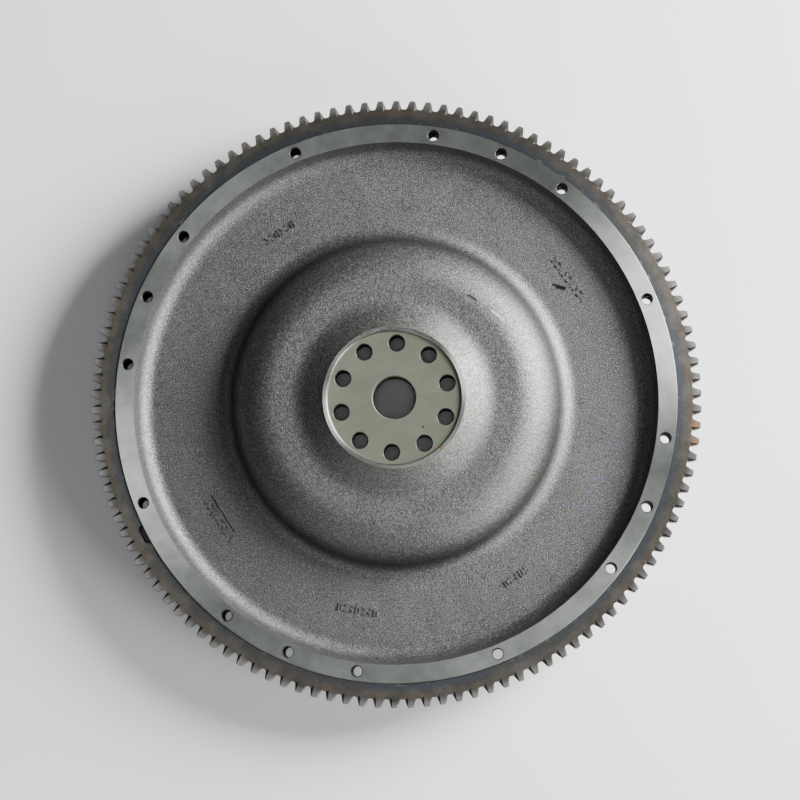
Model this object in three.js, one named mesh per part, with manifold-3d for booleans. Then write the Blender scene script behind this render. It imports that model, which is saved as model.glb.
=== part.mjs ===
// Engine flywheel: an iron casting with a steel starter ring gear shrunk on to its rim.
// Millimetres, +Z up. The wheel lies on its clutch face, engine side up, and the origin is
// on the spin axis in the plane of the clutch friction face.

import * as THREE from 'three';
import { mergeVertices } from 'three/addons/utils/BufferGeometryUtils.js';
import Module from 'manifold-3d';

// ---------- driving dimensions ----------
const gap = 0.3; // between the ring gear and the casting, which touch in the real wheel

const gear = {
  teeth: 118,
  diametralPitch: 6, // teeth per inch of pitch diameter
  stubPitch: 8, // the second figure of 6/8 stub teeth: addendum is 1/8 inch
  pressureAngle: THREE.MathUtils.degToRad(20),
  clearance: 0.79, // between a tooth tip and the opposite root
  toothPhase: THREE.MathUtils.degToRad(1.78), // centre of the first tooth, from +X
  width: 15,
  boreRadius: 233.1,
  leadInStart: 1.9, // from the tooth's centre line to where its lead-in bevel begins
  leadInDepth: 3.0, // along the axis, at the tooth's flank
};

const rim = {
  faceZ: 52,
  backZ: 20,
  innerRadius: 217.5,
  gearSeatRadius: gear.boreRadius - gap,
  shoulderRadius: 237,
  shoulderZ: 35.7,
  edge: 1, // chamfers beside the machined face
  backEdge: 2,
  draft: THREE.MathUtils.degToRad(15),
  filletRadius: 14,
};

const clutchFace = { outerRadius: 215, innerRadius: 122, chamfer: 1.5 };

// The engine side of the web is flat outside and swells into a round shoulder about the hub.
const web = {
  floorZ: 34,
  floorInnerRadius: 151,
  creaseAngle: THREE.MathUtils.degToRad(66), // the steepest place, where floor meets shoulder
  creaseFillet: 16,
  creaseTopRadius: 135.5,
  creaseTopZ: 45.5,
  shoulderSize: 39.5, // radius of the shoulder's own curve
};

const hub = {
  lipZ: 80,
  faceZ: 78,
  backZ: 58,
  lipRadius: 59.3,
  pilotRadius: 55,
  boreRadius: 17.5,
  chamfer: 0.8,
  lipChamfer: 0.4, // inside the lip
};

const clutchBolts = {
  circleRadius: 225,
  holeRadius: 4.25,
  chamfer: 0.6,
  phase: THREE.MathUtils.degToRad(82.4),
  groups: 4,
  offsets: [0, -15, -30, -60].map(THREE.MathUtils.degToRad),
};

const crankBolts = {
  circleRadius: 45,
  holeRadius: 6.6,
  chamfer: 0.6,
  phase: THREE.MathUtils.degToRad(15.8),
  count: 10,
};

const ringPocket = {
  angle: THREE.MathUtils.degToRad(208.4),
  length: 15.6,
  reach: 4.7, // radially, from the ring gear's bore
  cornerRadius: 3,
  depth: 5,
};

const wheelSegments = gear.teeth / 2; // a facet for every two teeth
const holeSegments = 12;
const quarter = Math.PI / 2;
const past = 1; // how far a cutter runs past the surface that it cuts

// ---------- solids ----------
const wasm = await Module();
wasm.setup();

function toSolid(geometry) {
  const bare = geometry.clone();
  bare.deleteAttribute('normal');
  bare.deleteAttribute('uv');
  const merged = mergeVertices(bare, 1e-4);
  return new wasm.Manifold(new wasm.Mesh({
    numProp: 3,
    vertProperties: new Float32Array(merged.attributes.position.array),
    triVerts: new Uint32Array(merged.index.array),
  }));
}

function toGeometry(solid) {
  const { vertProperties, triVerts } = solid.getMesh();
  const geometry = new THREE.BufferGeometry();
  geometry.setAttribute('position', new THREE.BufferAttribute(new Float32Array(vertProperties), 3));
  geometry.setIndex(new THREE.BufferAttribute(new Uint32Array(triVerts), 1));
  geometry.computeVertexNormals();
  return geometry;
}

// Turns an outline of [radius, z] points about the Z axis. The outline runs anticlockwise with
// the radius drawn to the right and z upwards, and a facet edge lies at angle phase.
function turned(outline, segments, phase = 0) {
  const points = outline.map(([radius, z]) => new THREE.Vector2(radius, z));
  const geometry = new THREE.LatheGeometry(points, segments);
  geometry.rotateX(quarter);
  geometry.rotateZ(quarter + phase);
  return geometry;
}

// Points of an arc in [radius, z], without its first point.
function arc(radius, z, size, from, to, steps) {
  return Array.from({ length: steps }, (_, i) => {
    const angle = from + ((to - from) * (i + 1)) / steps;
    return [radius + size * Math.cos(angle), z + size * Math.sin(angle)];
  });
}

// A drill with a countersink at each end, from one face of the metal to the other.
function drill(radius, chamfer, lowZ, highZ) {
  return turned([
    [0, lowZ - past],
    [radius + chamfer + past, lowZ - past],
    [radius, lowZ + chamfer],
    [radius, highZ - chamfer],
    [radius + chamfer + past, highZ + past],
    [0, highZ + past],
  ], holeSegments);
}

// ---------- the casting ----------
function castingOutline() {
  const wallFootRadius = rim.innerRadius
    - Math.tan(rim.draft) * (rim.faceZ - web.floorZ - rim.filletRadius * (1 - Math.sin(rim.draft)));
  const filletCentreRadius = wallFootRadius - rim.filletRadius * Math.cos(rim.draft);
  const faceChamfer = clutchFace.chamfer;
  const edge = hub.chamfer;
  return [
    // clutch side: hub back, the dish round the clutch hub, and the friction face
    [hub.boreRadius + edge, hub.backZ],
    [57, hub.backZ],
    [62, 56.8],
    [72, 52],
    [106, 38.4],
    [114, 33],
    [118, 26],
    [clutchFace.innerRadius, faceChamfer],
    [clutchFace.innerRadius + faceChamfer, 0],
    [clutchFace.outerRadius - faceChamfer, 0],
    [clutchFace.outerRadius, faceChamfer],
    // rim: back, ring gear shoulder and seat, machined face
    [clutchFace.outerRadius, rim.backZ - faceChamfer],
    [clutchFace.outerRadius + faceChamfer, rim.backZ],
    [rim.shoulderRadius - rim.backEdge, rim.backZ],
    [rim.shoulderRadius, rim.backZ + rim.backEdge],
    [rim.shoulderRadius, rim.shoulderZ],
    [rim.gearSeatRadius, rim.shoulderZ],
    [rim.gearSeatRadius, rim.faceZ - rim.edge],
    [rim.gearSeatRadius - rim.edge, rim.faceZ],
    [rim.innerRadius, rim.faceZ],
    // engine side of the web: rim fillet, floor, crease, shoulder, flat top and hub skirt
    [wallFootRadius, web.floorZ + rim.filletRadius * (1 - Math.sin(rim.draft))],
    ...arc(filletCentreRadius, web.floorZ + rim.filletRadius, rim.filletRadius, -rim.draft, -quarter, 5),
    [web.floorInnerRadius, web.floorZ],
    ...arc(
      web.floorInnerRadius, web.floorZ + web.creaseFillet, web.creaseFillet,
      -quarter, -quarter - web.creaseAngle, 4,
    ),
    [web.creaseTopRadius, web.creaseTopZ],
    ...arc(
      web.creaseTopRadius - web.shoulderSize * Math.cos(quarter - web.creaseAngle),
      web.creaseTopZ - web.shoulderSize * Math.sin(quarter - web.creaseAngle),
      web.shoulderSize, quarter - web.creaseAngle, quarter, 5,
    ),
    [86, 68.9],
    [79, 69.8],
    [73, 72],
    // hub: lip, pilot recess, machined face and bore
    [hub.lipRadius, hub.lipZ - edge],
    [hub.lipRadius - edge, hub.lipZ],
    [hub.pilotRadius + hub.lipChamfer, hub.lipZ],
    [hub.pilotRadius, hub.lipZ - hub.lipChamfer],
    [hub.pilotRadius, hub.faceZ],
    [hub.boreRadius + edge, hub.faceZ],
    [hub.boreRadius, hub.faceZ - edge],
    [hub.boreRadius, hub.backZ + edge],
    [hub.boreRadius + edge, hub.backZ],
  ];
}

function onCircle(cutter, radius, angle) {
  return toSolid(cutter.clone().translate(radius, 0, 0).rotateZ(angle));
}

function makeCasting() {
  let casting = toSolid(turned(castingOutline(), wheelSegments, gear.toothPhase));
  const clutchDrill = drill(clutchBolts.holeRadius, clutchBolts.chamfer, rim.backZ, rim.faceZ);
  for (let group = 0; group < clutchBolts.groups; group += 1) {
    for (const offset of clutchBolts.offsets) {
      const angle = clutchBolts.phase - (group * 2 * Math.PI) / clutchBolts.groups + offset;
      casting = casting.subtract(onCircle(clutchDrill, clutchBolts.circleRadius, angle));
    }
  }
  const crankDrill = drill(crankBolts.holeRadius, crankBolts.chamfer, hub.backZ, hub.faceZ);
  for (let i = 0; i < crankBolts.count; i += 1) {
    const angle = crankBolts.phase + (i * 2 * Math.PI) / crankBolts.count;
    casting = casting.subtract(onCircle(crankDrill, crankBolts.circleRadius, angle));
  }
  return toGeometry(casting);
}

// ---------- the starter ring gear ----------
const inch = 25.4;
const pitchRadius = (gear.teeth / gear.diametralPitch) * inch / 2;
const addendum = inch / gear.stubPitch;
const tipRadius = pitchRadius + addendum;
const rootRadius = pitchRadius - addendum - gear.clearance;
const toothPitch = (2 * Math.PI) / gear.teeth;

// Half of a straight-sided tooth's width at a radius.
function halfToothWidth(radius) {
  const atPitch = (Math.PI * pitchRadius) / gear.teeth / 2;
  return atPitch - (radius - pitchRadius) * Math.tan(gear.pressureAngle);
}

function polar(radius, angle) {
  return new THREE.Vector2(radius * Math.cos(angle), radius * Math.sin(angle));
}

// The toothed outline, with a bore that has a corner for every tooth.
function gearOutline() {
  const outside = [];
  const bore = [];
  for (let tooth = 0; tooth < gear.teeth; tooth += 1) {
    const centre = gear.toothPhase + tooth * toothPitch;
    for (const [radius, side] of [[rootRadius, -1], [tipRadius, -1], [tipRadius, 1], [rootRadius, 1]]) {
      outside.push(polar(radius, centre + (side * halfToothWidth(radius)) / radius));
    }
    bore.push(polar(gear.boreRadius, centre));
  }
  const outline = new THREE.Shape(outside);
  outline.holes.push(new THREE.Path(bore));
  return outline;
}

// The wedge that a tooth's lead-in bevel takes off, for a tooth centred on +X.
function leadInCutter(topZ) {
  const reach = halfToothWidth(rootRadius) - gear.leadInStart;
  const slope = gear.leadInDepth / reach;
  const width = reach + past;
  const profile = new THREE.Shape([
    new THREE.Vector2(-gear.leadInStart + past / slope, topZ + past),
    new THREE.Vector2(-gear.leadInStart - width, topZ - slope * width),
    new THREE.Vector2(-gear.leadInStart - width, topZ + past),
  ]);
  const cutter = new THREE.ExtrudeGeometry(profile, {
    depth: tipRadius - rootRadius + past,
    bevelEnabled: false,
  });
  // The profile's x becomes +Y, its y becomes +Z and its depth +X.
  cutter.applyMatrix4(new THREE.Matrix4().makeBasis(
    new THREE.Vector3(0, 1, 0),
    new THREE.Vector3(0, 0, 1),
    new THREE.Vector3(1, 0, 0),
  ));
  return cutter.translate(rootRadius, 0, 0);
}

// A pocket with round corners in the ring gear's engine-side face, open to its bore.
function pocketCutter(topZ) {
  const half = ringPocket.length / 2;
  const corner = ringPocket.cornerRadius;
  const corners = ringPocket.reach - corner;
  const profile = new THREE.Shape();
  profile.moveTo(-past, -half);
  profile.absarc(corners, -half + corner, corner, -quarter, 0, false);
  profile.absarc(corners, half - corner, corner, 0, quarter, false);
  profile.lineTo(-past, half);
  profile.closePath();
  const cutter = new THREE.ExtrudeGeometry(profile, {
    depth: ringPocket.depth + past,
    bevelEnabled: false,
    curveSegments: 5,
  });
  return cutter.translate(gear.boreRadius, 0, topZ - ringPocket.depth).rotateZ(ringPocket.angle);
}

function makeRingGear() {
  const lowZ = rim.shoulderZ + gap;
  const topZ = lowZ + gear.width;
  const blank = new THREE.ExtrudeGeometry(gearOutline(), { depth: gear.width, bevelEnabled: false });
  let ring = toSolid(blank.translate(0, 0, lowZ));
  const bevel = leadInCutter(topZ);
  for (let tooth = 0; tooth < gear.teeth; tooth += 1) {
    ring = ring.subtract(toSolid(bevel.clone().rotateZ(gear.toothPhase + tooth * toothPitch)));
  }
  return toGeometry(ring.subtract(toSolid(pocketCutter(topZ))));
}

// ---------- the assembly ----------
function named(name, geometry, material) {
  const mesh = new THREE.Mesh(geometry, new THREE.MeshStandardMaterial(material));
  mesh.name = name;
  return mesh;
}

const flywheel = new THREE.Group();
flywheel.name = 'flywheel';
flywheel.add(
  named('flywheel_casting', makeCasting(), { color: 0x7d7d78, roughness: 0.6, metalness: 0.7 }),
  named('starter_ring_gear', makeRingGear(), { color: 0x6b645c, roughness: 0.5, metalness: 0.8 }),
);

export default flywheel;
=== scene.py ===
"""An engine flywheel lying on its clutch face: an iron casting and its starter ring gear.

Metres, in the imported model's frame: +Z is the spin axis, towards the engine side, and the
origin is in the plane of the clutch friction face. Radii, heights and lengths below are
in millimetres and angles in degrees; MM and math.radians turn them into Blender's units.
"""

import math

import bmesh
import bpy
from mathutils import Matrix, Vector, noise


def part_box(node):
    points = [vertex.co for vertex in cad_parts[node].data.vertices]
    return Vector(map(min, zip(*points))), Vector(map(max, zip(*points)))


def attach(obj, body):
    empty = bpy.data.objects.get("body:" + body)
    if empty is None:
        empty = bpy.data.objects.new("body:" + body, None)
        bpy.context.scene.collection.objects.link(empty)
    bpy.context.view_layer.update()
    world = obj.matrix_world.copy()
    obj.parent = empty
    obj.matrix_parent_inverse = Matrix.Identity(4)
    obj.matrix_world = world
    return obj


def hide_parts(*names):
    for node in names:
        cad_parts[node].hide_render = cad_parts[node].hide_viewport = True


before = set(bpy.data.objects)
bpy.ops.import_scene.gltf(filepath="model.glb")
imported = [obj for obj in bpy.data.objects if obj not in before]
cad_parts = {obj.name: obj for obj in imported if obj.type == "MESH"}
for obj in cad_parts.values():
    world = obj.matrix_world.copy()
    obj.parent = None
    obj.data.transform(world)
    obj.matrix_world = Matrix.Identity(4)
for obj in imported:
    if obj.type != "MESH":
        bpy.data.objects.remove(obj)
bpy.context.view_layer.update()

MM = 0.001
TURN = 2 * math.pi

# ---------- driving sizes ----------
CAST_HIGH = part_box("flywheel_casting")[1] / MM
RING_LOW, RING_HIGH = (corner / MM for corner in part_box("starter_ring_gear"))

LIP_Z = CAST_HIGH.z
HUB_FACE_Z = LIP_Z - 2  # floor of the shallow recess for the crankshaft's flange
HUB_BACK_Z = HUB_FACE_Z - 20
RIM_FACE_Z = RING_HIGH.z + 1  # the rim's turned face stands just proud of the ring gear
RIM_BACK_Z = 20
WEB_FLOOR_Z = 34

BORE_R = 17.5
PILOT_R = 55  # the recess inside the hub's lip
LIP_R = 59.3
BULGE_Z = 68.9  # the flat ring on top of the web's bulge
CREASE_R = 135.5  # the dark valley round the foot of the bulge
RIM_INNER_R = 217.5
SEAT_R = 232.9  # where the ring gear sits
SHOULDER_R = CAST_HIGH.x  # the shoulder behind the ring gear
CLUTCH_INNER_R = 122
CLUTCH_OUTER_R = 215
WALL_DRAFT = math.radians(15)

CLUTCH_BOLT_R = 225
CLUTCH_HOLE_R = 4.25
CLUTCH_BOLT_ANGLES = [82.4 - 90 * k + step for k in range(4) for step in (0, -15, -30, -60)]
CRANK_BOLT_R = 45
CRANK_HOLE_R = 6.6
CRANK_BOLT_ANGLES = [15.8 + 36 * k for k in range(10)]

TEETH = 118
INCH = 25.4
PITCH_R = TEETH / 6 * INCH / 2  # 6/8 stub teeth
TIP_R = PITCH_R + INCH / 8
ROOT_R = PITCH_R - INCH / 8 - 0.79  # with clearance for the pinion's tips
PRESSURE_ANGLE = math.radians(20)
TOOTH_PHASE = math.radians(1.78)
RING_BORE_R = 233.1
LEAD_IN_START = 1.9  # from a tooth's centre line
LEAD_IN_DEPTH = 3.0
POCKET_ANGLE = 208.4

SEGMENTS = TEETH * 6  # round the wheel
# The names of each piece's material slots, in order
FINISHES = ["cast", "turned", "hub", "bored"]
# Of the ring gear's three, the first carries a painted highlight on the teeth and the second is
# near-black painted shade.
GEAR_FINISHES = ["worn", "painted_shade", "ground"]


# ---------- the camera ----------
def make_camera():
    """Looks down on the wheel from over two metres, a little to its lower right."""
    data = bpy.data.cameras.new("camera")
    data.sensor_width = 36
    data.lens = 125.7
    data.clip_end = 20
    camera = bpy.data.objects.new("camera", data)
    camera.location = (0.092, -0.2423, 2.3498)
    camera.rotation_euler = [math.radians(angle) for angle in (6.05, 2.149, 0.436)]
    bpy.context.scene.collection.objects.link(camera)
    bpy.context.scene.camera = camera


make_camera()


# ---------- mesh helpers ----------
def add_object(name, mesh):
    piece = bpy.data.objects.new(name, mesh)
    bpy.context.scene.collection.objects.link(piece)
    return piece


def new_mesh(name, verts, faces, slots=None):
    """A mesh from millimetre points, with its faces' material slots."""
    mesh = bpy.data.meshes.new(name)
    mesh.from_pydata(verts, [], faces)
    mesh.transform(Matrix.Scale(MM, 4))
    if slots:
        mesh.polygons.foreach_set("material_index", slots)
    mesh.update()
    return mesh


def join_meshes(name, meshes):
    """One mesh made of several, which are thrown away."""
    joined = bmesh.new()
    for mesh in meshes:
        joined.from_mesh(mesh)
        bpy.data.meshes.remove(mesh)
    mesh = bpy.data.meshes.new(name)
    joined.to_mesh(mesh)
    joined.free()
    return mesh


def subtract(piece, cutter_mesh):
    """Cuts a mesh out of a piece, keeping both meshes' material slots, and drops the cutter."""
    cutter = add_object("cutter", cutter_mesh)
    for material in piece.data.materials:
        cutter_mesh.materials.append(material)
    cut = piece.modifiers.new("cut", "BOOLEAN")
    cut.object = cutter
    cut.operation = "DIFFERENCE"
    cut.solver = "EXACT"
    cut.material_mode = "INDEX"
    bpy.context.view_layer.update()
    evaluated = piece.evaluated_get(bpy.context.evaluated_depsgraph_get())
    result = bpy.data.meshes.new_from_object(evaluated)
    piece.modifiers.clear()
    piece.data = result
    bpy.data.objects.remove(cutter)
    bpy.data.meshes.remove(cutter_mesh)


def smooth(piece, sharp_angle=30):
    piece.data.shade_smooth()
    piece.data.set_sharp_from_angle(angle=math.radians(sharp_angle))


def rounded(corners):
    """(point, finish) pairs along a closed outline of (radius, z, fillet, finish) corners.

    A corner's finish is that of the stretch after it. Cast stretches are cut up into short
    edges, so that their surface can be made uneven.
    """
    longest_cast, longest_arc, widest_turn = 2.2, 1.5, 0.25  # limits on one edge of the outline
    most_of_side = 0.98  # that a fillet may use up
    points = []
    for i, (r, z, fillet, finish) in enumerate(corners):
        here = Vector((r, z))
        if not fillet:
            points.append((here, finish))
            continue
        before = Vector(corners[i - 1][:2]) - here
        after = Vector(corners[(i + 1) % len(corners)][:2]) - here
        half = before.angle(after) / 2
        room = min(before.length, after.length) * most_of_side
        reach = min(fillet / math.tan(half), room)
        size = reach * math.tan(half)
        inward = (before.normalized() + after.normalized()).normalized()
        centre = here + inward * size / math.sin(half)
        first = here + before.normalized() * reach - centre
        last = here + after.normalized() * reach - centre
        sweep = math.atan2(first.cross(last), first.dot(last))
        steps = max(2, math.ceil(abs(sweep) * size / longest_arc), math.ceil(abs(sweep) / widest_turn))
        for k in range(steps + 1):
            spoke = Matrix.Rotation(sweep * k / steps, 2) @ first
            points.append((centre + spoke, finish if 2 * k >= steps else corners[i - 1][3]))
    fine = []
    for i, (here, finish) in enumerate(points):
        there = points[(i + 1) % len(points)][0]
        pieces = max(1, math.ceil((there - here).length / longest_cast)) if finish == "cast" else 1
        fine += [(here.lerp(there, k / pieces), finish) for k in range(pieces)]
    return fine


def lathe(name, outline, phase):
    """Turns a closed outline of (point, finish) pairs about Z, one column of points a segment."""
    count = len(outline)
    verts, faces, slots = [], [], []
    for i in range(SEGMENTS):
        angle = phase + TURN * i / SEGMENTS
        cos, sin = math.cos(angle), math.sin(angle)
        here, there = i * count, (i + 1) % SEGMENTS * count
        for k, (point, finish) in enumerate(outline):
            after = (k + 1) % count
            x, y, z = point.x * cos, point.x * sin, point.y
            if finish == "cast" and outline[k - 1][1] == "cast":
                x, y, z = uneven(x, y, z)
            verts.append((x, y, z))
            faces.append((here + k, there + k, there + after, here + after))
            slots.append(FINISHES.index(finish))
    return new_mesh(name, verts, faces, slots)


def uneven(x, y, z):
    """Moves a point on an as-cast surface up or down by a fraction of a millimetre."""
    broad_size, broad_height = 23, 0.22
    fine_size, fine_height = 5, 0.07
    elsewhere = Vector((40, 0, 0))  # so that the two noises do not line up
    place = Vector((x, y, z))
    broad = noise.noise(place / broad_size)
    fine = noise.noise(place / fine_size + elsewhere)
    return x, y, z + broad_height * broad + fine_height * fine


# ---------- the casting ----------
def casting_corners():
    """The casting's section, as (radius, z, fillet, finish) corners for rounded()."""
    wall_foot_r = RIM_INNER_R - math.tan(WALL_DRAFT) * (RIM_FACE_Z - WEB_FLOOR_Z)
    bore_edge, lip_edge, face_edge, shoulder_edge, seat_edge = 0.8, 0.7, 1.5, 2, 0.3
    shoulder_z = RING_LOW.z - 0.1  # the ring gear stands just off its shoulder
    return [
        # clutch side: hub back, the dish round the clutch hub, and the friction face
        (BORE_R + bore_edge, HUB_BACK_Z, 0, "turned"),
        (57, HUB_BACK_Z, 0, "cast"),
        (66, HUB_BACK_Z - 2.8, 12, "cast"),
        (116.8, 33.4, 12, "cast"),
        (CLUTCH_INNER_R, face_edge, 0, "turned"),
        (CLUTCH_INNER_R + face_edge, 0, 0, "turned"),
        (CLUTCH_OUTER_R - face_edge, 0, 0, "turned"),
        (CLUTCH_OUTER_R, face_edge, 0, "turned"),
        # rim: back, ring gear shoulder and seat, machined face
        (CLUTCH_OUTER_R, RIM_BACK_Z, 1.5, "turned"),
        (SHOULDER_R - shoulder_edge, RIM_BACK_Z, 0, "turned"),
        (SHOULDER_R, RIM_BACK_Z + shoulder_edge, 0, "turned"),
        (SHOULDER_R, shoulder_z, seat_edge, "turned"),
        (SEAT_R, shoulder_z, 0, "turned"),
        (SEAT_R, RIM_FACE_Z - seat_edge, 0, "turned"),
        (SEAT_R - seat_edge, RIM_FACE_Z, 0, "turned"),
        (RIM_INNER_R, RIM_FACE_Z, 0, "cast"),
        # engine side of the web: foot of the wall, foot of the bulge, its shoulder, foot of the hub
        (wall_foot_r, WEB_FLOOR_Z, 14, "cast"),
        (140.6, WEB_FLOOR_Z, 16, "cast"),
        (125.1, BULGE_Z, 39.5, "cast"),
        (79, BULGE_Z, 28, "cast"),
        (LIP_R, LIP_Z - 0.9, 0, "hub"),
        # hub: lip, recess, machined face and bore
        (LIP_R - 0.8, LIP_Z, 0, "turned"),
        (PILOT_R + lip_edge, LIP_Z, 0, "turned"),
        (PILOT_R, LIP_Z - lip_edge, 0, "hub"),
        (PILOT_R, HUB_FACE_Z, 0.8, "hub"),
        (BORE_R + bore_edge, HUB_FACE_Z, 0, "hub"),
        (BORE_R, HUB_FACE_Z - bore_edge, 0, "bored"),
        (BORE_R, HUB_BACK_Z + bore_edge, 0, "bored"),
    ]


def drill(circle_r, angle, hole_r, low, high, chamfer, thread=0.0):
    """A cutter for a hole with a countersink at each end, tapped if thread, its depth, isn't 0."""
    sides, past, pitch = 36, 0.6, 1.5
    steps = 4 * round((high - low - 2 * chamfer) / pitch) if thread else 1
    climb = (high - low - 2 * chamfer) / steps
    rings = [(chamfer + past, low - past, 0)]
    rings += [(0, low + chamfer + climb * k, thread) for k in range(steps + 1)]
    rings += [(chamfer + past, high + past, 0)]
    verts, faces = [], [tuple(reversed(range(sides)))]
    for flare, z, depth in rings:
        for i in range(sides):
            crest = abs(2 * ((z / pitch + i / sides) % 1) - 1)
            r = hole_r + flare + depth * crest
            verts.append((circle_r + r * math.cos(TURN * i / sides), r * math.sin(TURN * i / sides), z))
    for k in range(len(rings) - 1):
        low_ring, high_ring = k * sides, (k + 1) * sides
        for i in range(sides):
            j = (i + 1) % sides
            faces.append((low_ring + i, low_ring + j, high_ring + j, high_ring + i))
    faces.append(tuple(range(len(verts) - sides, len(verts))))
    mesh = new_mesh("drill", verts, faces, [FINISHES.index("bored")] * len(faces))
    mesh.transform(Matrix.Rotation(math.radians(angle), 4, "Z"))
    return mesh


def make_casting(materials):
    mesh = lathe("flywheel_body", rounded(casting_corners()), TOOTH_PHASE)
    for material in materials:
        mesh.materials.append(material)
    casting = add_object("flywheel_body", mesh)
    drills = [
        drill(CLUTCH_BOLT_R, angle, CLUTCH_HOLE_R, RIM_BACK_Z, RIM_FACE_Z, chamfer=0.7, thread=0.45)
        for angle in CLUTCH_BOLT_ANGLES
    ]
    drills += [
        drill(CRANK_BOLT_R, angle, CRANK_HOLE_R, HUB_BACK_Z, HUB_FACE_Z, chamfer=0.6)
        for angle in CRANK_BOLT_ANGLES
    ]
    subtract(casting, join_meshes("drills", drills))
    smooth(casting)
    return casting


# ---------- the starter ring gear ----------
def half_tooth_angle(r):
    """Half the angle that an involute tooth takes up at a radius."""
    def involute(angle):
        return math.tan(angle) - angle
    base_r = PITCH_R * math.cos(PRESSURE_ANGLE)
    return math.pi / 2 / TEETH + involute(PRESSURE_ANGLE) - involute(math.acos(base_r / r))


def half_tooth():
    """(radius, angle from the tooth's centre) points from the root to the tip, rounded at both."""
    fillet, tip_edge, tip_corner = 2.2, 0.6, 0.2
    foot_angle = half_tooth_angle(ROOT_R + fillet)
    foot = [
        (ROOT_R + fillet * (1 - math.cos(turn)), foot_angle + fillet * (1 - math.sin(turn)) / ROOT_R)
        for turn in (0, 0.35, 0.7, 1.1, math.pi / 2)
    ]
    flank_radii = (ROOT_R + 3.2, ROOT_R + 4.4, ROOT_R + 5.6, TIP_R - tip_edge)
    flank = [(r, half_tooth_angle(r)) for r in flank_radii]
    tip_angle = half_tooth_angle(TIP_R - tip_edge)
    tip = [
        (TIP_R - tip_corner, tip_angle - tip_corner / TIP_R),
        (TIP_R, tip_angle - tip_edge / TIP_R),
    ]
    return foot + flank + tip


def gear_outline():
    side = half_tooth()
    outline = []
    for tooth in range(TEETH):
        centre = TOOTH_PHASE + TURN * tooth / TEETH
        outline += [(r, centre - angle) for r, angle in side]
        outline += [(r, centre + angle) for r, angle in reversed(side)]
    return [Vector((r * math.cos(angle), r * math.sin(angle))) for r, angle in outline]


def shrunk(outline, amount):
    """A closed anticlockwise outline, moved inwards by a small amount."""
    moved = []
    for i, point in enumerate(outline):
        along = outline[(i + 1) % len(outline)] - outline[i - 1]
        moved.append(point + Vector((-along.y, along.x)).normalized() * amount)
    return moved


def make_ring_mesh():
    """The ring's toothed band: two edge breaks outside, two inside, and flat faces between."""
    low, high, edge = RING_LOW.z, RING_HIGH.z, 0.3
    outer = gear_outline()
    inner = [
        Vector((math.cos(angle), math.sin(angle))) * RING_BORE_R
        for angle in (TOOTH_PHASE + TURN * i / SEGMENTS for i in range(SEGMENTS))
    ]
    small = shrunk(outer, edge)
    big = [point * (1 + edge / RING_BORE_R) for point in inner]
    mesh = bmesh.new()

    def loop(points, z):
        return [mesh.verts.new((point.x, point.y, z)) for point in points]

    def wall(lower, upper):
        for i in range(len(lower)):
            mesh.faces.new((lower[i - 1], lower[i], upper[i], upper[i - 1]))

    outside = [loop(small, low), loop(outer, low + edge), loop(outer, high - edge), loop(small, high)]
    inside = [loop(big, high), loop(inner, high - edge), loop(inner, low + edge), loop(big, low)]
    for loops in (outside, inside):
        for lower, upper in zip(loops, loops[1:]):
            wall(lower, upper)
    for outer_loop, inner_loop, up in ((outside[3], inside[0], True), (outside[0], inside[3], False)):
        per_outer, per_inner = len(outer_loop) // TEETH, len(inner_loop) // TEETH
        for tooth in range(TEETH):
            # From the middle of one root to the next, the cap is one flat face.
            begin = tooth * per_outer
            tooth_part = [outer_loop[(begin + k) % len(outer_loop)] for k in range(per_outer + 1)]
            start = tooth * per_inner - per_inner // 2
            bore_part = [inner_loop[(start + k) % len(inner_loop)] for k in range(per_inner + 1)]
            face = tooth_part + bore_part[::-1]
            mesh.faces.new(face if up else face[::-1])
    bmesh.ops.triangulate(mesh, faces=[face for face in mesh.faces if len(face.verts) > 4])
    bmesh.ops.scale(mesh, vec=(MM, MM, MM), verts=mesh.verts)
    bmesh.ops.recalc_face_normals(mesh, faces=mesh.faces)
    for face in mesh.faces:
        centre = face.calc_center_median()
        # Trailing faces take the second finish, near-black painted shade.
        trailing = centre.cross(face.normal).z < -0.4 * centre.length
        face.material_index = GEAR_FINISHES.index("painted_shade" if trailing else "worn")
    result = bpy.data.meshes.new("starter_ring")
    mesh.to_mesh(result)
    mesh.free()
    return result


def hull(name, points):
    """The closed convex shape round some points."""
    shape = bmesh.new()
    for point in points:
        shape.verts.new(point)
    bmesh.ops.convex_hull(shape, input=shape.verts)
    bmesh.ops.recalc_face_normals(shape, faces=shape.faces)
    mesh = bpy.data.meshes.new(name)
    shape.to_mesh(mesh)
    shape.free()
    return mesh


def lead_in_cutters():
    """A wedge for each tooth: it bevels the flank that the starter pinion meets first."""
    top, past = RING_HIGH.z, 1.0
    slope = LEAD_IN_DEPTH / (half_tooth_angle(ROOT_R) * ROOT_R - LEAD_IN_START)
    width = 5.2  # across the flank and on into the root
    skew, lean = 0.75, 0.35  # of the wedge's inner end, so that it runs out diagonally
    corners = (
        (-LEAD_IN_START + past / slope, top + past),
        (-width, top + past),
        (-width, top - slope * (width - LEAD_IN_START)),
    )
    inner_end = [(ROOT_R + 0.6 - (y + width) * skew + (top - z) * lean, y, z) for y, z in corners]
    outer_end = [(TIP_R + past, y, z) for y, z in corners]
    cutters = []
    for tooth in range(TEETH):
        cutter = hull("wedge", inner_end + outer_end)
        for face in cutter.polygons:
            # Bevel faces take near-black painted shade, and their run-out bare ground steel.
            face.material_index = GEAR_FINISHES.index("ground" if face.normal.x < -0.5 else "painted_shade")
        angle = TOOTH_PHASE + TURN * tooth / TEETH
        cutter.transform(Matrix.Rotation(angle, 4, "Z") @ Matrix.Scale(MM, 4))
        cutters.append(cutter)
    return cutters


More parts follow.
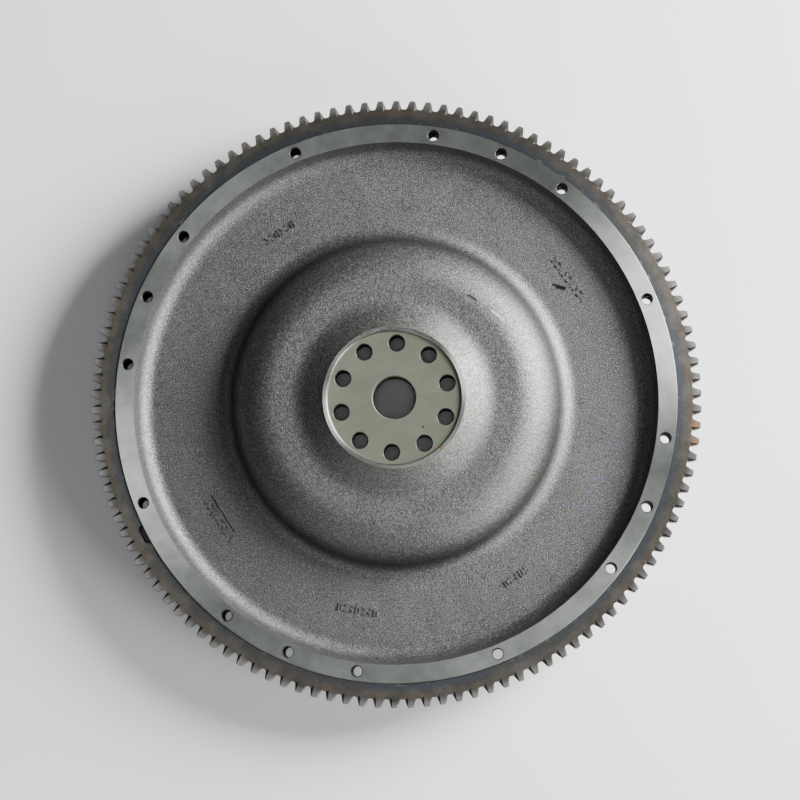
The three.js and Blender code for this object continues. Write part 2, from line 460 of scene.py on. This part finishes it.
def pocket_cutter():
    """The round-cornered pocket in the ring's face, open to its bore, with sloping walls in painted
    shade.
    """
    top, depth, past = RING_HIGH.z, 5.0, 1.0
    half_width, into_ring, round_corner = 7.8, 4.7, 3.0  # in the face, where the inset is about 0
    points = []
    for z, inset in ((top + past, -0.2), (top - depth, 1.1)):
        half, reach, corner = half_width - inset, into_ring - inset, round_corner - inset
        for side in (-1, 1):
            points.append((RING_BORE_R - past, side * half, z))
            for k in range(7):
                turn = math.radians(15 * k)
                x = RING_BORE_R + reach - corner + corner * math.cos(turn)
                points.append((x, side * (half - corner + corner * math.sin(turn)), z))
    mesh = hull("pocket", points)
    for face in mesh.polygons:
        # The pocket's walls take near-black painted shade.
        face.material_index = GEAR_FINISHES.index("worn" if face.normal.z < -0.9 else "painted_shade")
    mesh.transform(Matrix.Rotation(math.radians(POCKET_ANGLE), 4, "Z") @ Matrix.Scale(MM, 4))
    return mesh


def make_ring_gear(materials):
    mesh = make_ring_mesh()
    for material in materials:
        mesh.materials.append(material)
    ring = add_object("starter_ring", mesh)
    subtract(ring, join_meshes("cutters", lead_in_cutters() + [pocket_cutter()]))
    smooth(ring, 25)
    return ring


# ---------- raised casting marks ----------
# Plain bars and dots in place of foundry characters: (radius, angle, count, framed)
CAST_MARKS = [
    (178, 36, 9, False),
    (174.5, 124.5, 6, False),
    (176, 213, 7, True),
    (175, 260, 7, False),
    (175.5, 305, 5, False),
]


def bar(x, y, length, width, turn=0.0):
    """A low bar with a rounded top, standing out of the web floor, at a place on its mark."""
    proud = 1.3
    shape = bmesh.new()
    bmesh.ops.create_cube(shape, size=1)
    bmesh.ops.scale(shape, vec=(length, width, 2 * proud), verts=shape.verts)
    top = [edge for edge in shape.edges if any(vert.co.z > 0 for vert in edge.verts)]
    bmesh.ops.bevel(shape, geom=top, offset=min(length, width) * 0.35, segments=2, affect="EDGES")
    mesh = bpy.data.meshes.new("bar")
    shape.to_mesh(mesh)
    shape.free()
    mesh.transform(Matrix.Translation((x, y, 0)) @ Matrix.Rotation(turn, 4, "Z"))
    return mesh


def make_mark(index, r, angle, count, framed):
    """A row of bars that spell nothing, in three forms by turns; a framed one has two more."""
    pitch, tall, stroke = 5.0, 6.8, 1.6
    parts = []
    for i in range(count):
        y = (i - (count - 1) / 2) * pitch
        if i % 3 == 0:
            parts += [bar(0, y - 1.2, tall, stroke), bar(0, y + 1.3, tall * 0.7, stroke)]
        elif i % 3 == 1:
            parts += [bar(end * tall / 3, y, stroke, 3.4) for end in (-1, 1)]
        else:
            parts.append(bar(tall / 5, y, tall * 0.6, stroke, turn=0.5))
            parts.append(bar(-tall / 3, y + 0.6, stroke, 2.4))
    if framed:
        half = count * pitch / 2
        parts += [bar(-tall / 2 - 2.4, 0, 1.4, 2 * half + 2), bar(0, half + 4, tall, 1.4, turn=0.5)]
    mesh = join_meshes(f"cast_mark_{index}", parts)
    place = Matrix.Rotation(math.radians(angle), 4, "Z") @ Matrix.Translation((r, 0, WEB_FLOOR_Z))
    mesh.transform(Matrix.Scale(MM, 4) @ place)
    return add_object(f"cast_mark_{index}", mesh)


# ---------- finishes ----------
class Finish:
    """A node material: add() makes a node with its inputs linked or set, and bsdf is its shader."""

    def __init__(self, name, metallic, roughness):
        self.material = bpy.data.materials.new(name)
        self.material.use_nodes = True
        self.tree = self.material.node_tree
        self.bsdf = self.tree.nodes["Principled BSDF"]
        self.bsdf.inputs["Metallic"].default_value = metallic
        self.bsdf.inputs["Roughness"].default_value = roughness
        self.place = self.add("ShaderNodeTexCoord").outputs["Object"]

    def add(self, kind, inputs=None, **properties):
        node = self.tree.nodes.new(kind)
        for key, value in properties.items():
            setattr(node, key, value)
        for key, value in (inputs or {}).items():
            if isinstance(value, bpy.types.NodeSocket):
                self.tree.links.new(value, node.inputs[key])
            else:
                node.inputs[key].default_value = value
        return node

    def math(self, operation, *values, clamp=False):
        node = self.add("ShaderNodeMath", dict(enumerate(values)), operation=operation)
        node.use_clamp = clamp
        return node.outputs[0]

    def vector_math(self, operation, inputs, output=0):
        return self.add("ShaderNodeVectorMath", inputs, operation=operation).outputs[output]

    def noise(self, size, detail=2.0, rough=0.5):
        """Noise from 0 to 1, whose lumps are about size millimetres across."""
        scale = 1 / MM / size
        inputs = {"Vector": self.place, "Scale": scale, "Detail": detail, "Roughness": rough}
        return self.add("ShaderNodeTexNoise", inputs).outputs["Fac"]

    def ramp(self, value, low, high, out_low=0.0, out_high=1.0):
        """A value's share of the way from low to high, held at both ends and mapped on to out."""
        span = {"From Min": low, "From Max": high, "To Min": out_low, "To Max": out_high}
        return self.add("ShaderNodeMapRange", {"Value": value, **span}).outputs[0]

    def blend(self, amount, first, second):
        """One colour fading to another as the amount goes from 0 to 1."""
        factor, colour_a, colour_b, mixed = 0, 6, 7, 2  # the Mix node's sockets for colours
        inputs = {factor: amount}
        for socket, shade in ((colour_a, first), (colour_b, second)):
            linked = isinstance(shade, bpy.types.NodeSocket)
            inputs[socket] = shade if linked else (*shade, 1.0)
        return self.add("ShaderNodeMix", inputs, data_type="RGBA").outputs[mixed]

    def radius(self):
        """Distance from the spin axis, in millimetres."""
        flat = self.vector_math("MULTIPLY", {0: self.place, 1: (1 / MM, 1 / MM, 0)})
        return self.vector_math("LENGTH", {0: flat}, "Value")

    def near(self, x, y, z, reach):
        """1 at a point of the wheel, falling to 0 at reach millimetres from it."""
        point = (x * MM, y * MM, z * MM)
        away = self.vector_math("DISTANCE", {0: self.place, 1: point}, "Value")
        return self.ramp(away, reach * MM, reach * MM * 0.4)

    def stroke(self, start, end, width):
        """1 on a line between two (x, y) points, seen from above, falling to 0 at half its width."""
        first = Vector((*start, 0)) * MM
        along = Vector((*end, 0)) * MM - first
        flat = self.vector_math("MULTIPLY", {0: self.place, 1: (1, 1, 0)})
        offset = self.vector_math("SUBTRACT", {0: flat, 1: first})
        unit = along / along.length_squared
        share = self.vector_math("DOT_PRODUCT", {0: offset, 1: unit}, "Value")
        share = self.math("MULTIPLY", share, 1.0, clamp=True)
        foot = self.vector_math("SCALE", {0: along, "Scale": share})
        away = self.vector_math("DISTANCE", {0: offset, 1: foot}, "Value")
        return self.ramp(away, width / 2 * MM, width / 5 * MM)

    def colour(self, socket):
        self.tree.links.new(socket, self.bsdf.inputs["Base Color"])

    def roughness(self, socket):
        self.tree.links.new(socket, self.bsdf.inputs["Roughness"])

    def bump(self, relief, height):
        """Bumps whose relief from 0 to 1 stands for a height in millimetres."""
        inputs = {"Height": relief, "Distance": height * MM, "Strength": 1.0}
        self.tree.links.new(self.add("ShaderNodeBump", inputs).outputs[0], self.bsdf.inputs["Normal"])

    def tool_rings(self, frequency):
        """Noise that changes with the radius only, like the rings that a lathe tool leaves."""
        across = self.math("MULTIPLY", self.radius(), frequency)
        return self.add("ShaderNodeTexNoise", {"W": across}, noise_dimensions="1D").outputs["Fac"]

    def turned_grain(self, amount):
        """Stretches highlights across the tool marks of a face turned about the Z axis."""
        tangent = self.add("ShaderNodeTangent", direction_type="RADIAL", axis="Z")
        self.tree.links.new(tangent.outputs[0], self.bsdf.inputs["Tangent"])
        self.bsdf.inputs["Anisotropic"].default_value = amount
        self.bsdf.inputs["Anisotropic Rotation"].default_value = 0.25


def cast_finish():
    """Shot-blasted iron as cast: grey, gritty, with small bright grains, a few stains and painted shade
    along the crease.
    """
    finish = Finish("cast_iron", metallic=0.9, roughness=0.5)
    grit = finish.noise(1.1, detail=2, rough=0.8)
    patches = finish.ramp(finish.noise(40, detail=3), 0.3, 0.7)
    tone = finish.blend(patches, (0.083, 0.083, 0.081), (0.101, 0.1005, 0.098))
    warm_grains = finish.ramp(finish.noise(2.2, detail=2), 0.5, 0.7, 0.0, 0.7)
    tone = finish.blend(warm_grains, tone, (0.125, 0.114, 0.102))
    tone = finish.blend(finish.ramp(grit, 0.44, 0.68), tone, (0.25, 0.25, 0.243))
    sparkles = finish.ramp(finish.noise(1.3, detail=1), 0.62, 0.76)
    tone = finish.blend(sparkles, tone, (0.30, 0.295, 0.28))
    # Painted shade: darker towards the valley at the foot of the bulge, fading out 7 mm from it.
    from_crease = finish.math("ABSOLUTE", finish.math("SUBTRACT", finish.radius(), CREASE_R))
    painted_crease_shade = finish.ramp(from_crease, 0, 7, 0.6, 0.0)
    tone = finish.blend(painted_crease_shade, tone, (0.03, 0.029, 0.027))
    tone = finish.blend(chalk_strokes(finish), tone, (0.165, 0.17, 0.255))
    smudge_tail = finish.stroke((130.6, 100.2), (139, 97.6), 2.6)
    smudge = finish.math("MAXIMUM", smudge_tail, finish.stroke((134.5, 98.3), (139.6, 97), 5))
    tone = finish.blend(smudge, tone, (0.012, 0.012, 0.014))
    dark_scratch = finish.stroke((60.5, 86.2), (66.5, 82.2), 2.6)
    tone = finish.blend(dark_scratch, tone, (0.03, 0.03, 0.03))
    pale_scratch = finish.stroke((80, 73.2), (89, 66), 3)
    tone = finish.blend(pale_scratch, tone, (0.3, 0.295, 0.28))
    finish.colour(tone)
    finish.roughness(finish.ramp(finish.noise(3), 0.3, 0.7, 0.42, 0.58))
    finish.bump(grit, 0.3)
    return finish.material


def chalk_strokes(finish):
    """Short strokes of worn chalk on the web floor, leaning by turns, that spell nothing."""
    chalk = None
    for k in range(8):
        angle, lean = math.radians(326 + 4.6 * k), math.radians(20 if k % 2 else 75)
        middle = Vector((math.cos(angle), math.sin(angle))) * (172 + 2.2 * k)
        half = Vector((math.cos(angle + lean), math.sin(angle + lean))) * (7 + k % 3)
        line = finish.stroke(middle - half, middle + half, 4)
        chalk = line if chalk is None else finish.math("MAXIMUM", chalk, line)
    worn = finish.ramp(finish.noise(3.5, detail=4, rough=0.7), 0.38, 0.62, 0.05, 0.62)
    return finish.math("MULTIPLY", chalk, worn)


def turned_finish():
    """Machined iron: grey-green and cloudy, with the fine rings that the lathe tool left."""
    finish = Finish("turned_iron", metallic=1.0, roughness=0.4)
    finish.turned_grain(0.85)
    cloud = finish.ramp(finish.noise(22, detail=5, rough=0.6), 0.35, 0.65)
    tone = finish.blend(cloud, (0.278, 0.298, 0.276), (0.395, 0.418, 0.392))
    stain = finish.ramp(finish.noise(7, detail=4, rough=0.7), 0.62, 0.74, 0.0, 0.5)
    tone = finish.blend(stain, tone, (0.15, 0.16, 0.145))
    rust_speck = finish.near(38.8, -41.5, LIP_Z, 1.8)
    tone = finish.blend(rust_speck, tone, (0.5, 0.2, 0.06))
    finish.colour(tone)
    rings = finish.tool_rings(3.0)
    finish.roughness(finish.ramp(rings, 0.3, 0.7, 0.33, 0.46))
    finish.bump(rings, 0.01)
    return finish.material


def hub_finish():
    """The hub's turned face under a dull olive film of preserving oil."""
    finish = Finish("hub_iron", metallic=0.6, roughness=0.6)
    smear = finish.ramp(finish.noise(16, detail=4), 0.3, 0.75)
    tone = finish.blend(smear, (0.130, 0.139, 0.104), (0.154, 0.162, 0.124))
    mottle = finish.ramp(finish.noise(3, detail=4, rough=0.7), 0.35, 0.65, 0.0, 0.25)
    tone = finish.blend(mottle, tone, (0.11, 0.112, 0.09))
    flecks = finish.ramp(finish.noise(2.5, detail=3), 0.66, 0.72, 0.0, 0.35)
    tone = finish.blend(flecks, tone, (0.06, 0.06, 0.05))
    dark_dot = finish.near(23.9, -24, HUB_FACE_Z, 1.3)
    tone = finish.blend(dark_dot, tone, (0.02, 0.02, 0.02))
    finish.colour(tone)
    return finish.material


def bored_finish():
    """The darker iron inside the bore and the bolt holes."""
    finish = Finish("bored_iron", metallic=0.9, roughness=0.45)
    mottle = finish.ramp(finish.noise(3), 0.3, 0.7)
    finish.colour(finish.blend(mottle, (0.07, 0.068, 0.064), (0.10, 0.097, 0.09)))
    return finish.material


def with_rust(finish, tone, fresh):
    """A tone with fresh rust on two teeth and thin rust here and there by the roots."""
    radius = finish.radius()
    band = finish.math("MULTIPLY", finish.ramp(radius, 239.5, 242), finish.ramp(radius, 248, 244.5))
    patchy = finish.ramp(finish.noise(9, detail=5, rough=0.65), 0.4, 0.66, 0.1, 0.6)
    tone = finish.blend(finish.math("MULTIPLY", band, patchy), tone, (0.15, 0.117, 0.086))
    rusty_r = 249
    for angle in (math.radians(352.6), math.radians(355.6)):
        spot = finish.near(rusty_r * math.cos(angle), rusty_r * math.sin(angle), RING_HIGH.z, 7)
        grainy = finish.ramp(finish.noise(2.5), 0.4, 0.6, 0.15, 0.85)
        tone = finish.blend(finish.math("MULTIPLY", spot, grainy), tone, fresh)
    return tone


def gear_finish():
    """Ring gear steel: heat tint by the bore, brown film outside it, teeth lighter towards their tips
    as a painted highlight.
    """
    finish = Finish("ring_gear_steel", metallic=0.9, roughness=0.42)
    finish.turned_grain(0.5)
    radius = finish.radius()
    blotches = finish.noise(14, detail=4)
    wander = finish.math("ADD", radius, finish.ramp(blotches, 0.3, 0.7, -1.5, 1.5))
    patches = finish.ramp(blotches, 0.35, 0.65)
    film = finish.blend(patches, (0.076, 0.0745, 0.069), (0.150, 0.145, 0.133))
    blue = finish.ramp(finish.noise(70, detail=2), 0.42, 0.6)
    heat = finish.blend(blue, (0.088, 0.091, 0.093), (0.080, 0.092, 0.112))
    tone = finish.blend(finish.ramp(wander, 236, 240), heat, film)
    # Painted highlight: lighter towards the tooth tips.
    tone = finish.blend(finish.ramp(wander, 245.5, 251.5), tone, (0.34, 0.34, 0.325))
    grime = finish.ramp(finish.noise(2.6, detail=4, rough=0.65), 0.35, 0.7, 0.0, 0.45)
    tone = finish.blend(grime, tone, (0.05, 0.049, 0.045))
    rings = finish.ramp(finish.tool_rings(1.2), 0.4, 0.65, 0.0, 0.4)
    tone = finish.blend(rings, tone, (0.06, 0.056, 0.05))
    by_bore = finish.ramp(radius, 235.4, 234.8)
    scuffs = finish.ramp(finish.noise(9, detail=4), 0.58, 0.66, 0.0, 0.35)
    tone = finish.blend(finish.math("MULTIPLY", by_bore, scuffs), tone, (0.34, 0.34, 0.33))
    finish.colour(with_rust(finish, tone, fresh=(0.42, 0.21, 0.095)))
    finish.bump(finish.noise(1.2, detail=3), 0.06)
    return finish.material


def bevel_finish():
    """Lead-in bevels, the flanks below them and the pocket's walls, painted near black as shade."""
    finish = Finish("painted_shade_steel", metallic=0.7, roughness=0.5)
    mottle = finish.ramp(finish.noise(2), 0.35, 0.65)
    # Near black: painted shade.
    tone = finish.blend(mottle, (0.022, 0.020, 0.018), (0.05, 0.046, 0.04))
    finish.colour(with_rust(finish, tone, fresh=(0.15, 0.06, 0.025)))
    return finish.material


def ground_finish():
    """Bare steel where the bevel cutters ran out."""
    finish = Finish("ground_steel", metallic=1.0, roughness=0.35)
    mottle = finish.ramp(finish.noise(2), 0.35, 0.65)
    finish.colour(finish.blend(mottle, (0.4, 0.4, 0.38), (0.6, 0.6, 0.57)))
    return finish.material


# ---------- stage ----------
def floor_finish():
    """The white ground, very slightly uneven in tone."""
    finish = Finish("floor", metallic=0.0, roughness=0.7)
    mottle = finish.ramp(finish.noise(400), 0.3, 0.7)
    finish.colour(finish.blend(mottle, (0.90, 0.905, 0.915), (0.93, 0.935, 0.945)))
    return finish.material


def make_floor():
    reach = 4000
    corners = [(-reach, -reach, 0), (reach, -reach, 0), (reach, reach, 0), (-reach, reach, 0)]
    mesh = new_mesh("floor", corners, [(0, 1, 2, 3)])
    mesh.materials.append(floor_finish())
    add_object("floor", mesh)


def add_light(name, azimuth, elevation, distance, size, power):
    """A round area light, sizes in metres, that faces the origin from a direction in degrees."""
    data = bpy.data.lights.new(name, "AREA")
    data.shape = "DISK"
    data.size = size
    data.energy = power
    light = bpy.data.objects.new(name, data)
    level = distance * math.cos(math.radians(elevation))
    light.location = Vector((
        level * math.cos(math.radians(azimuth)),
        level * math.sin(math.radians(azimuth)),
        distance * math.sin(math.radians(elevation)),
    ))
    light.rotation_euler = (-light.location).to_track_quat("-Z", "Y").to_euler()
    bpy.context.scene.collection.objects.link(light)


def make_lights():
    add_light("key", azimuth=25, elevation=27, distance=2.3, size=1.4, power=236)
    add_light("fill", azimuth=-34, elevation=26, distance=2.4, size=1.3, power=48)
    add_light("bounce", azimuth=-112, elevation=30, distance=2.4, size=1.4, power=9)
    add_light("by_camera", azimuth=-69, elevation=83.7, distance=2.5, size=0.4, power=5)
    world = bpy.data.worlds.new("world")
    world.use_nodes = True
    background = world.node_tree.nodes["Background"]
    background.inputs["Color"].default_value = (0.9, 0.95, 1.0, 1)
    background.inputs["Strength"].default_value = 0.06
    bpy.context.scene.world = world


# ---------- the assembly ----------
def mount(piece):
    """Every piece turns with the wheel's one body."""
    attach(piece, "root")


casting = make_casting([cast_finish(), turned_finish(), hub_finish(), bored_finish()])
mount(casting)
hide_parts("flywheel_casting")

ring_gear = make_ring_gear([gear_finish(), bevel_finish(), ground_finish()])
mount(ring_gear)
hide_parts("starter_ring_gear")

for number, mark in enumerate(CAST_MARKS, 1):
    piece = make_mark(number, *mark)
    piece.data.materials.append(bpy.data.materials["cast_iron"])
    smooth(piece, 40)
    mount(piece)

make_floor()
make_lights()
